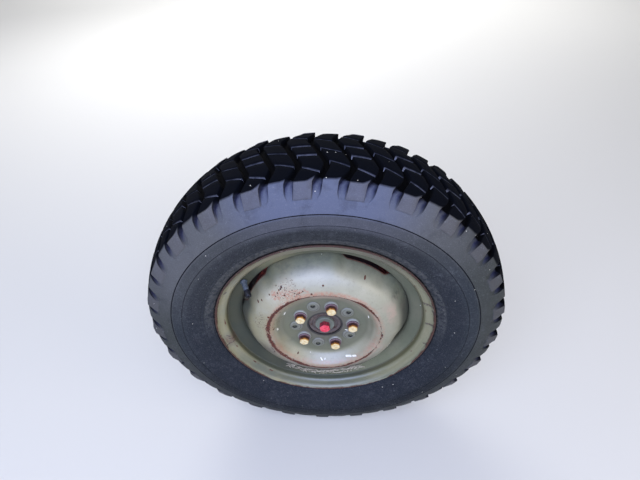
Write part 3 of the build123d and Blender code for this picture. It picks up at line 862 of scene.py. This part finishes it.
# %% Wheel paint: chips, scratches and gloss
# Forward and up at both ends, and half the width
SCRATCHES = [(45.7, -87.7, 55.7, -83.9, 1.5), (59.3, -82.2, 65.6, -79.1, 1.4), (-7.8, -97.7, -4.8, -100.8, 1),
             (1.1, -98.4, 0.8, -99.8, 0.8), (42, -15.7, 45.1, -16.4, 1.4), (-126.4, 103.9, -129, 95.3, 1.5),
             (85.1, 31.5, 86.5, 25.4, 1.2), (-78.3, 35.6, -81.1, 29.2, 1.2), (-95.9, -5.8, -94.9, -10.4, 1.3),
             (130.2, -53.4, 134.6, -75.2, 1.5), (133.8, -45.2, 135.4, -51.1, 1.2)]
CHIPS = [(188, 68, 205, 64, 3.2), (203, 9, 214, 8, 3.4), (209, 52, 212, 47, 3.2), (-191, -60, -206, -66, 1.8),
         (-199, -86, -208, -90, 1.6), (205, -51, 210, -49, 1.8), (-189, 91, -192, 88, 2.2),
         (-203, -40, -197, -44, 1.7), (-200, -50, -191, -53, 1.6), (198, 96, 203, 101, 1.8),
         (-109, -50, -103, -66, 1.6), (114, 1, 115, -9, 1.5), (112, -12, 111, -17, 1.5), (-81, 118, -84, 112, 1.4)]
bright, chipped = [most(*[PAINT.stroke(*line) for line in lines]) for lines in (SCRATCHES, CHIPS)]
outboard = PAINT.math("LESS_THAN", station, 20)
lay(chipped * outboard * noise(2.2).over(0.38, 0.48), "33201a")
scratched = bright * outboard * noise(1.5, 2).over(0.3, 0.45)
lay(most(scratched, PAINT.specks(24, 0.035, 0.2, 5)), "eceae0")
dull = most(rust, caught, on_skirt * 0.6, middle * 0.8, trough, on_nave * 0.5, hole)
PAINT.set("Roughness", dull.blend(cloud.blend(0.40, 0.48), 0.9))
PAINT.set("Coat Weight", (1 - dull) * 0.6)
PAINT.set("Coat Roughness", 0.43)
PAINT.bump(rust * noise(1.6, 4, 0.7), 0.6)
PAINT.bump(noise(30, shift=5), 0.7, 0.35)
PAINT.bump(noise(1.7, 4, 0.7), 0.06, 0.7)
print("paint with", len(PAINT.tree.nodes), "nodes in all")

# %% [markdown]
# ## Rim
# A drop-centre rim is one rolled sheet. Its outline is drawn on the tyre's side and given its
# thickness on the other, so both faces and both curled lips come from one line.

# %% Rim
RIM_SHEET = 4
RIM_SIDE = [(LIP_R - 1.8, 0.2), (LIP_R, 2.4), (LIP_R - 2.6, 8.2), (211, 12.9), (203, 13.6), (201.7, 20.5),
            (200.2, 26.6), (194, 29.5), (180.5, 34.5), (175.2, 39.5), (175, 48)]


def rim_outline():
    """Tyre-side line from lip to lip: one half, and the same mirrored with a longer inboard seat."""
    inboard = [(r, RIM_WIDTH - y * (1 if y < 20 else 1.45)) for r, y in reversed(RIM_SIDE)]
    line = rounded(RIM_SIDE + inboard, [0.3] + [0.42] * 20 + [0.3])
    return sheet(refined(line, 12), RIM_SHEET)


piece("rim", turned(rim_outline(), 384), PAINT, ["wheel_rim"])

# %% [markdown]
# ## Disc
# The disc is pressed from one sheet: a flat nave, a raised ring, a dome and a flange that is
# welded in the rim's well. At four places the edge is drawn in, which leaves the vents. The
# grid runs from the hub hole outwards, and its last rows end sooner at the vents.

# %% Disc
DISC_SHEET = 5
DISC_LINE = [(33, 11), (60, 11), (84, 11), (92, 7.8), (99, -1.5), (105.5, -10.2), (111.5, -12.9),
             (118.5, -11.8), (131, -6.4), (145, 3), (157, 15.5), (165.5, 30), (171, 42),
             (172, 52), (172, 62)]
DISC_BENDS = [0.3] + [0.5] * 2 + [0.45] * 11 + [0.3]
VENT_AT = np.radians(61 + 90 * np.arange(4))
VENT_HALF = math.radians(20)
VENT_STEP = math.radians(6)
VENT_SHORT = 0.30
SKIRT_FROM = 142
SKIRT_BARE = 4
DRAW = 9.5
DRAW_FROM = 136
DRAW_WIDE = 34


def s_step(s):
    """S-shaped step from 0 to 1: s*s*(3-2s), with s kept within 0 and 1."""
    s = np.clip(s, 0, 1)
    return s * s * (3 - 2 * s)


def window(angle):
    """1 within a vent, 0 on a lobe, with an S-shaped step between."""
    away = np.abs((angle[None, :] - VENT_AT[:, None] + np.pi) % (2 * np.pi) - np.pi).min(0)
    return s_step((VENT_HALF - away) / VENT_STEP * 0.5 + 0.5)


def disc_grid():
    """Face, edge and back of the disc, and how bare of paint each point is. At a vent the skirt
    is drawn in: its radius loses up to DRAW by an S-shaped step, and the skirt ends sooner, by
    shrinking the way along it. The last millimetres at a vent's edge are bare."""
    line = refined(rounded(DISC_LINE, DISC_BENDS, 6), 4)
    left = normals(line)
    way = np.concatenate([[0], np.cumsum(np.hypot(*np.diff(line, axis=0).T))])
    angles = circle(540)[None, :]
    open_here = window(angles[0])[None, :]
    common = np.interp(SKIRT_FROM, line[:, 0], way)
    at = way[:, None]
    along = np.where(at <= common, at, common + (at - common) * (1 - VENT_SHORT * open_here))
    r, y, nr, ny = [np.interp(along, way, values) for values in (*line.T, *left.T)]
    r = r - open_here * DRAW * s_step((r - DRAW_FROM) / DRAW_WIDE)
    face, back = polar(r, angles, y), polar(r + nr * DISC_SHEET, angles, y + ny * DISC_SHEET)
    bare = open_here * np.clip((along - along[-1:] + SKIRT_BARE) / 2.5, 0, 1)
    return np.concatenate([face, back[::-1]]), np.concatenate([bare, bare[::-1]])


disc_points, disc_bare = disc_grid()
piece("disc", disc_points, PAINT, ["wheel_disc"], attributes={"bare": disc_bare})

# %% [markdown]
# ## Bosses and pips on the nave
# Round each bolt the nave is pressed up into a cone, which centres the bolt. Between them are
# five low pips, each with a small round hole off its centre. Both are turned outlines about
# lines of their own; for a pip each row also slides outward, which carries the hole aside.

# %% Bosses and pips
BOLT_CIRCLE_R = 56
BOLT_ANGLES = np.radians(5.5 + 72 * np.arange(5))
PIP_CIRCLE_R = 58
PIP_ANGLES = np.radians(41 + 72 * np.arange(5))
BOSS_COLUMNS = 64
# Outline of a boss: radius, station, and how much it is painted paler, as a painted highlight
BOSS = np.array([(7, 14, 0), (14.6, 14, 0), (14.4, 11, 0), (13.9, 10.4, 0.2), (12.6, 7.9, 1), (12, 7.5, 1),
                 (7.4, 7.5, 1), (7, 7.9, 0.6)])
# Outline of a pip, from the hole's bottom to its foot: radius, station, slide outward, and
# darkness, which is painted shade in the hole and a darker ring round the foot
PIP = np.array([(0, 15.6, 4, 1), (3.3, 15.6, 4, 1), (3.4, 9, 4, 1), (3.9, 8.5, 4, 1), (5.6, 8.2, 2.5, 0.1),
                (8.2, 8.3, 0.9, 0), (8.8, 8.7, 0.6, 0.3), (9.4, 8.8, 0.3, 0.4), (10, 8.5, 0, 0.1), (11.2, 8.8, 0, 0),
                (12.4, 9.5, 0, 0), (13.3, 10.4, 0, 0.35), (13.8, 11.4, 0, 0.8), (14, 15.8, 0, 1), (0, 15.8, 0, 1)])


def by_row(numbers):
    """A number for each row of an outline, carried to all points of five turned copies."""
    return np.repeat(np.tile(numbers, 5), BOSS_COLUMNS)


bosses = [aside(turned(BOSS[:, :2], BOSS_COLUMNS), BOLT_CIRCLE_R, turn) for turn in BOLT_ANGLES]
pips = [aside(turned(PIP[:, :2], BOSS_COLUMNS), PIP_CIRCLE_R, turn, PIP[:, 2]) for turn in PIP_ANGLES]
piece("bolt_bosses", bosses, PAINT, sharp=50, attributes={"raised": by_row(BOSS[:, 2])})
piece("nave_pips", pips, PAINT, sharp=50, poles=True,
      attributes={"hole": by_row(PIP[:, 3]), "raised": by_row(0.4 - 0.4 * PIP[:, 3])})

# %% [markdown]
# ## Wheel bolts
# The bolts are gold-plated steel, painted pale cream on the end as a painted glint, and brown with
# rust towards the collar. A hexagon head is a turned outline cut by six flats, so its radius is the
# smaller of the outline's own and that of a flat, a / cos(angle from the flat's middle). The cone of
# the outline makes the bright bevels on the corners by itself.

# %% Wheel bolts
BOLT_AF = 17
HEAD_ROWS = slice(4, 9)
BOLT = [(0, -6), (5, -6), (7.6, -6), (8.3, -5.8), (9.2, -5.4), (10.4, -4.6), (10.4, 0), (10.4, 3),
        (10, 3.5), (10.6, 3.6), (11.6, 3.7), (12, 4.1), (12, 4.9), (11.3, 5.4), (11.3, 5.8), (12, 6.2),
        (12, 7.2), (11.6, 7.5), (6, 7.6), (6, 34), (5, 35.5), (0, 35.5)]


def hexed(outline, across, turn):
    """Turned outline of (radius, station); the rows of its head are cut by six flats."""
    r, y = np.array(outline, float).T[:, :, None]
    angles = circle(72)
    sector = (angles + np.pi / 6) % (np.pi / 3) - np.pi / 6
    cut = r + 0 * sector
    cut[HEAD_ROWS] = np.minimum(cut[HEAD_ROWS], across / 2 / np.cos(sector))
    return polar(cut, angles + turn, y)


def plated():
    """Zinc-plated steel by station: pale cream on the end, a painted glint, gold on the flanks, brown at
    their root, and a purple-brown collar with a paler band on its edge."""
    made = Finish("gold_plated_steel", "f6e3ad", 0.32, 0.4)
    y, noise, lay = made.station, made.noise, made.lay
    blotched = y + (noise(3.5, 4, 0.7) - 0.5) * 7
    root, collar = blotched.over(-3.4, 0.4), y.over(3.4, 3.6)
    # Pale cream on the end: a painted glint over the gold plating.
    made.shade = "f3e4bd"
    lay(noise(5).over(0.4, 0.6), "e6cb93")
    lay(y.over(-5.95, -5), "d29a3c")
    lay(blotched.over(-5, -2), "8f4f22")
    lay(root, "2e130c")
    lay(collar, "5f4543")
    lay(collar * y.band(4.4, 0.5, 0.3), "8b7683")
    lay(y.band(5.6, 0.2, 0.3), "1d1011")
    lay(noise(1.6).over(0.62, 0.7) * 0.5, "3a1a0e")
    made.set("Metallic", most(root, collar).blend(0.3, 0.1))
    made.set("Roughness", most(root, collar).blend(0.32, 0.7))
    made.bump(noise(1.2, 4, 0.7), 0.08)
    return made


heads = [aside(hexed(BOLT, BOLT_AF, 0.3 * k), BOLT_CIRCLE_R, turn) for k, turn in enumerate(BOLT_ANGLES)]
piece("wheel_bolts", heads, plated(), ["wheel_bolts"], sharp=25, poles=True)

# %% [markdown]
# ## Hub, washer and centre bolt
# The hub's spigot fills the disc's centre hole; the dark ring round it is a painted shadow on the
# disc's paint. Its face is bare cast iron, brown-grey and dull. A thick green-grey washer lies in it,
# and the bolt in the middle was dabbed with bright red paint, which marks a bolt done up to its
# torque.

# %% Hub, washer and centre bolt
HUB = [(14.2, 16.4), (25, 16.2), (26.4, 13.6), (27.4, 13), (31.6, 13.1), (32.4, 14), (32.4, 22), (69.5, 22),
       (70, 22.5), (70, 31.5), (69.5, 32), (31.5, 32), (30, 34), (30, 95.5), (29.5, 96), (14.2, 96)]
WASHER = [(6.4, 16), (18.6, 16), (19, 15.6), (19, 10.6), (18.4, 10.05), (17.2, 10), (16.4, 10.6),
          (11, 10.7), (6.4, 10.7)]
RED_AF = 19
RED_BOLT = [(0, -1.5), (6, -1.5), (8.9, -1.45), (9.6, -1.1), (10.3, -0.5), (11.2, 0.2), (11.2, 6), (11.2, 9.4),
            (10.6, 10.6), (6, 10.7), (6, 49.5), (0, 49.5)]


def iron(name, base, rusty, share, size=9, rough=0.8):
    """Bare or thinly painted iron: rust in patches, a cast grain, darker pores and pale dust."""
    made = Finish(name, base, rough)
    noise, lay = made.noise, made.lay
    patches = noise(size, 5, 0.7).over(0.62 - share * 0.4, 0.82 - share * 0.4)
    lay(patches, rusty)
    lay(noise(2, 4, 0.7, shift=6).over(0.55, 0.75) * 0.5, "1d1613")
    lay(noise(22, 4, shift=3).over(0.5, 0.8) * 0.35, "8d8677")
    made.set("Roughness", patches.blend(rough * 0.75, 0.95))
    made.bump(noise(1.8, 5, 0.7), 0.35)
    return made


def red_paint():
    """Red paint, pink and glossy on the end; on the flanks it is dark red, as painted shade broken up
    by wear.
    """
    made = Finish("red_paint", "d8344a", 0.35)
    noise, lay = made.noise, made.lay
    # Dark red on the flanks: painted shade, broken up by wear in patches.
    worn = made.station.over(-0.9, 1.6) * noise(3.5, 4, 0.7).over(0.35, 0.6).blend(0.55, 1)
    made.shade = "d62f48"
    lay(noise(5).over(0.4, 0.7), "e8566a")
    lay(worn, "4a1018")
    made.set("Roughness", worn.blend(0.32, 0.7))
    made.bump(noise(2.2, 4, 0.6), 0.15)
    return made


HUB_IRON = iron("hub_iron", "564c49", "4a3128", 0.35)
WASHER_PAINT = iron("washer_paint", "6e756b", "4f4a40", 0.15, 6, 0.5)
piece("hub", turned(HUB, 128), HUB_IRON, ["hub"], sharp=40)
piece("hub_washer", turned(WASHER, 96), WASHER_PAINT, ["hub_washer"], sharp=40)
piece("hub_bolt", hexed(RED_BOLT, RED_AF, 0.2), red_paint(), ["hub_bolt"], sharp=25, poles=True)

# %% [markdown]
# ## Valve
# The tyre's rubber valve stands in the steep wall of the rim's well and shows in one vent. It is
# turned about its own axis, square to that wall, so it is made upright and then set in place by
# two directions across its axis.

# %% Valve
VALVE_ANGLE = math.radians(146.5)
WELL_WALL = np.array([(202.8 - 10 * math.tan(math.radians(5)), 22.65), (175, 36)])
STEM = [(0, -6), (6.4, -6), (7.5, -5), (7.5, -1.2), (6.6, -0.4), (5.65, -0.4), (5.65, 3.1), (7.2, 3.2), (7.4, 4.2),
        (6.3, 5.6), (5.4, 8), (5.1, 16), (5.5, 16.6), (5.5, 17.8), (5.1, 18.4), (4.9, 24), (4.2, 26), (0, 26)]
CAP = [(0, 23.9), (5.4, 23.9), (6, 24.6), (6, 35.8), (5.4, 37.2), (4.4, 38), (1.5, 38), (1.3, 36.4),
       (0, 36.4)]


def on_valve(outline):
    """Outline of (radius, height) turned about the valve's axis, which rises from the middle of
    the well's wall, the way that its face looks."""
    way = np.diff(WELL_WALL, axis=0)[0]
    way = way / np.hypot(*way)
    (out, y), outward = WELL_WALL.mean(0), np.array([math.cos(VALVE_ANGLE), 0, math.sin(VALVE_ANGLE)])
    foot, axis = outward * out + [0, y, 0], np.array([0, way[0], 0]) - outward * way[1]
    across = np.cross(axis, [0, 1, 0])
    across = across / np.linalg.norm(across)
    r, h = np.array(outline, float).T[:, :, None, None]
    turn = circle(48)[None, :, None]
    return foot + axis * h + r * (across * np.cos(turn) + np.cross(axis, across) * np.sin(turn))


def rubber_part(name, base, worn, dusty=0.4):
    """Moulded rubber or plastic: a mottled base, pale where handled, with a fine orange-peel skin."""
    made = Finish(name, base, 0.5)
    noise, lay = made.noise, made.lay
    lay(noise(6, 4, 0.6).over(0.42, 0.72), worn)
    dust = noise(18, 4, shift=4).over(0.48, 0.75) * dusty
    lay(dust, "77746c")
    made.set("Roughness", dust.blend(0.45, 0.9))
    made.set("Specular IOR Level", 0.25)
    made.bump(noise(1.1, 4, 0.7), 0.08)
    return made


STEM_RUBBER = rubber_part("valve_rubber", "39434f", "5a6673")
CAP_PLASTIC = rubber_part("valve_cap_plastic", "07080f", "131424", 0.06)
piece("valve_stem", on_valve(STEM), STEM_RUBBER, ["valve_stem"], poles=True)
piece("valve_cap", on_valve(CAP), CAP_PLASTIC, ["valve_cap"], sharp=40, poles=True)

# %% [markdown]
# ## Brake drum and back plate
# The drum shows through the vents as a band of dark red rust, painted near black as shade
# behind the upper right vent.
# Behind it the back plate, pressed from thin sheet, closes the brake; two shallow rings stiffen
# it and its lip overlaps the drum.

# %% Brake drum and back plate
DRUM = [(33.2, 16.3), (136, 16.1), (139, 16.6), (147.4, 25), (148, 27), (148, 75), (149, 76.5),
        (152, 77.2), (152, 84.4), (151.4, 85), (141.6, 85), (141, 84.4), (141, 32), (139, 29),
        (133, 23), (130, 22), (33.2, 22)]
PLATE_OUT = [(52.2, 90.5), (74, 90.5), (77, 88.8), (86, 88.8), (89, 90.5), (126, 90.5), (129, 88.6),
             (148, 88.6), (151, 90.5), (160, 90.5), (163.2, 88.4), (163.2, 79.2)]
PLATE_SHEET = 2.9
DRUM_RUST = iron("drum_rust", "541710", "9c4132", 0.5, 6, 0.95)
# Near black behind the upper right vent: painted shade.
DRUM_RUST.lay(DRUM_RUST.angle.band(64, 16, 10) * 0.9, "100706")
PLATE_PAINT = iron("back_plate_paint", "2b211c", "4c2e20", 0.4, 7, 0.8)
drum_line = refined(np.array(DRUM + DRUM[:1]), 12)[:-1]
plate_line = sheet(rounded(PLATE_OUT), PLATE_SHEET)
piece("brake_drum", turned(drum_line, 256), DRUM_RUST, ["brake_drum"])
piece("back_plate", turned(plate_line, 192), PLATE_PAINT, ["back_plate"], body="carrier")

# %% [markdown]
# ## Boots and their clamps
# Each joint of the half shaft is closed by a rubber boot with folds, so that it can bend. The
# folds are a wave along the cone of the boot: ridges on the cone and valleys under it, deeper
# where the boot is wide. Thin steel bands clamp both ends.

# %% Boots and clamps
BOOT_FOLDS = 6
# At the joint and at the shaft: radius of the cone and depth of the folds
BOOT_R = (44.6, 17.4)
FOLD_DEPTH = (8, 2)
FOLDS_FROM = 10
FOLDS_LONG = 42
# Boots: station of the start, way along the shaft, and radius of the joint in it
BOOTS = [(149, 1, 42), (431, -1, 36)]
# Clamps: place along the boot, radius and width
CLAMPS = [(2.6, 43.7, 4.6), (54.6, 16.3, 3.8)]


def boot_outline(start, way, joint_r):
    """Outline of a boot from its rim to the shaft, with the folds as a rounded wave, and back."""
    s = np.linspace(0, 1, BOOT_FOLDS * 10 + 1)
    cone = np.interp(s, [0, 1], BOOT_R)
    depth = np.interp(s, [0, 1], FOLD_DEPTH) * (0.5 - 0.5 * np.cos(2 * np.pi * BOOT_FOLDS * s)) ** 0.8
    folds = np.stack([cone - depth * np.clip(s * 40, 0, 1), FOLDS_FROM + FOLDS_LONG * s], -1)
    rim = joint_r + 0.1
    head = [(rim, 7), (rim, 0.2), (44.2, 0), (44.9, 0.8), (44.9, 2), (43.6, 2.4), (43.6, 7.4), (44.9, 8)]
    tail = [(17, 54), (16.2, 54.4), (16.2, 58.6), (17, 59), (16.6, 60), (14.2, 60)]
    under = np.stack([(cone - depth)[::-12] - 2, folds[::-12, 1]], -1)
    outline = np.concatenate([head, folds, tail, under[under[:, 0] > 15]])
    return outline * [1, way] + [0, start]


def clamp_outline(start, way, at, r, width):
    """Thin steel band round a boot: radius and station of its four corners."""
    corners = np.array([(r, 0), (r + 0.9, 0.2), (r + 0.9, width - 0.2), (r, width)])
    return corners * [1, way] + [0, start + way * at]


BOOT_RUBBER = rubber_part("boot_rubber", "141517", "24262a")
CLAMP_STEEL = iron("clamp_steel", "5d5b57", "4a3527", 0.3, 6, 0.45)
boots = [turned(boot_outline(*boot), 96) for boot in BOOTS]
clamps = [turned(clamp_outline(start, way, *clamp), 96) for clamp in CLAMPS for start, way, _ in BOOTS]
piece("shaft_boots", boots, BOOT_RUBBER, ["shaft_boots"], sharp=50)
piece("boot_clamps", clamps, CLAMP_STEEL, sharp=50)

# %% [markdown]
# ## Finishes of the pieces left as drawn
# The carrier casting, the bearing, the joints and the shaft already have their real form in the
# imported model, so they only change their finish: black chassis paint with rust and road dirt on
# the castings, and oily dark steel on what turns.

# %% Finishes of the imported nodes
CASTING = iron("carrier_casting", "23241f", "5b3826", 0.35, 12, 0.75)
OILY_STEEL = iron("oily_steel", "3c3a37", "4a3427", 0.2, 8, 0.4)
GROUND_STEEL = iron("ground_steel", "8c8b88", "5d5248", 0.1, 8, 0.3)
FASTENER = iron("plate_fastener", "4b463c", "573524", 0.4, 5, 0.6)
OILY_STEEL.set("Metallic", 0.8)
GROUND_STEEL.set("Metallic", 0.8)
for finish, nodes in ((CASTING, "hub_carrier wheel_cylinder"), (GROUND_STEEL, "wheel_bearing"),
                      (OILY_STEEL, "outer_joint half_shaft inner_joint"), (FASTENER, "back_plate_bolts")):
    for node in nodes.split():
        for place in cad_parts[node].material_slots:
            place.material = finish.material
    print(nodes, "take", finish.material.name)

# %% [markdown]
# ## Dirt caught under the dome
# Shreds of dried dirt and old paint hang in rows along the lower edge of the dome. Each is a
# small bent plate with only a few faces. Their places come from a seeded chance, and all are
# laid on the disc by the same outline that made it.

# %% Dirt flakes
FLAKES = 115
FLAKE_ROWS = np.array([132, 139, 146])
FLAKE_RINGS = [0, 1, 0.9, 0]
FLAKE_LIFTS = [0.75, 0.55, 0.1, 0]


def flakes():
    """Rings of seven points on four rows: a pole, an upper and a lower ring, and a pole. The long
    way of a flake follows the wheel's turn, and its middle is lifted off the paint."""
    chance = np.random.default_rng(7)
    line = rounded(DISC_LINE, DISC_BENDS, 7)
    out = -normals(line)
    angle = np.radians(chance.uniform(-122, -58, FLAKES))[:, None, None]
    r = chance.choice(FLAKE_ROWS, FLAKES, p=[0.15, 0.4, 0.45]) + chance.normal(0, 2.2, FLAKES)
    y, out_r, out_y = [np.interp(r, line[:, 0], v)[:, None, None] for v in (line[:, 1], out[:, 0], out[:, 1])]
    long, wide = [chance.uniform(*ends, FLAKES)[:, None, None] for ends in ((3.6, 9.5), (0.9, 2.6))]
    stand = (chance.uniform(0, 1, FLAKES) * np.clip((r - 126) / 2.4, 0, 8))[:, None, None]
    turn = chance.normal(0, 0.5, FLAKES)[:, None, None]
    k = circle(7)[None, None, :]
    size = np.array(FLAKE_RINGS)[None, :, None] * (1 + 0.25 * chance.uniform(-1, 1, (FLAKES, 1, 7)))
    lift = np.array(FLAKE_LIFTS)[None, :, None] + 0 * size
    u, v = long * size * np.cos(k), wide * size * np.sin(k)
    curl = chance.uniform(0.6, 3.4, FLAKES)[:, None, None] * (u / long) ** 2
    along = u * np.cos(turn) - v * np.sin(turn)
    down = u * np.sin(turn) + v * np.cos(turn)
    raised = lift + curl - 0.1 + stand
    radius = r[:, None, None] + down * -out_y + raised * out_r
    return polar(radius, angle + along / radius, y + down * out_r + raised * out_y)


DIRT = iron("dried_dirt", "c3bbad", "7d6f5c", 0.35, 5, 0.95)
piece("dirt_flakes", list(flakes()), DIRT, poles=True)
